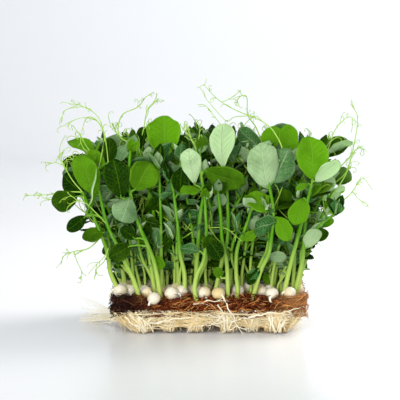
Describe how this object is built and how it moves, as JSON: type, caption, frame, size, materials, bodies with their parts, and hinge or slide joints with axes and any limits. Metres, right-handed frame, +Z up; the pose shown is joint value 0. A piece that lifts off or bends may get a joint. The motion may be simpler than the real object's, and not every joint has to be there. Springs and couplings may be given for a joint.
{
  "type": "pea shoot microgreens block",
  "caption": "Block of living pea shoots with leaflets and curling tendrils, growing from sprouted peas on a coconut fibre mat with felted white roots below.",
  "frame": {"origin": "under the middle of the block, on the flat end of the central root foot that rests on the surface", "axes": "+X along the block's length, +Y from its front to its back, +Z up"},
  "size_m": [0.2424, 0.1324, 0.1723],
  "materials": {
    "leaf": "waxy satin green with paler veins",
    "stem": "smooth juicy pale green",
    "seed": "damp wrinkled seed coat, cream",
    "coir": "coarse matt reddish-brown fibre",
    "root": "damp matted cream fibre"
  },
  "bodies": {
    "root": {"root_mat": "root", "trailing_roots": "root", "coir_mat": "coir", "pea_01": "seed", "pea_02": "seed", "pea_03": "seed", "pea_04": "seed", "pea_05": "seed", "pea_06": "seed", "pea_07": "seed", "pea_08": "seed", "pea_09": "seed", "pea_10": "seed", "pea_11": "seed", "pea_12": "seed", "pea_13": "seed", "pea_14": "seed", "pea_15": "seed", "shoot_01": "leaf", "shoot_02": "leaf", "shoot_03": "leaf", "shoot_04": "leaf", "shoot_05": "leaf", "shoot_06": "leaf", "shoot_07": "leaf", "shoot_08": "leaf", "shoot_09": "leaf", "shoot_10": "leaf", "shoot_11": "leaf", "shoot_12": "leaf", "shoot_13": "leaf", "shoot_14": "leaf", "shoot_15": "leaf", "shoot_16": "leaf", "shoot_17": "leaf", "shoot_18": "leaf", "shoot_19": "leaf", "shoot_20": "leaf", "shoot_21": "leaf", "shoot_22": "leaf", "shoot_23": "leaf", "shoot_24": "leaf", "shoot_25": "leaf", "shoot_26": "leaf", "shoot_27": "leaf", "shoot_28": "leaf", "shoot_29": "leaf", "shoot_30": "leaf", "shoot_31": "leaf", "shoot_32": "leaf", "shoot_33": "leaf", "shoot_34": "leaf", "shoot_35": "leaf", "shoot_36": "leaf", "shoot_37": "leaf", "shoot_38": "leaf", "shoot_39": "leaf", "shoot_40": "leaf", "shoot_41": "leaf"}
  },
  "joints": []
}
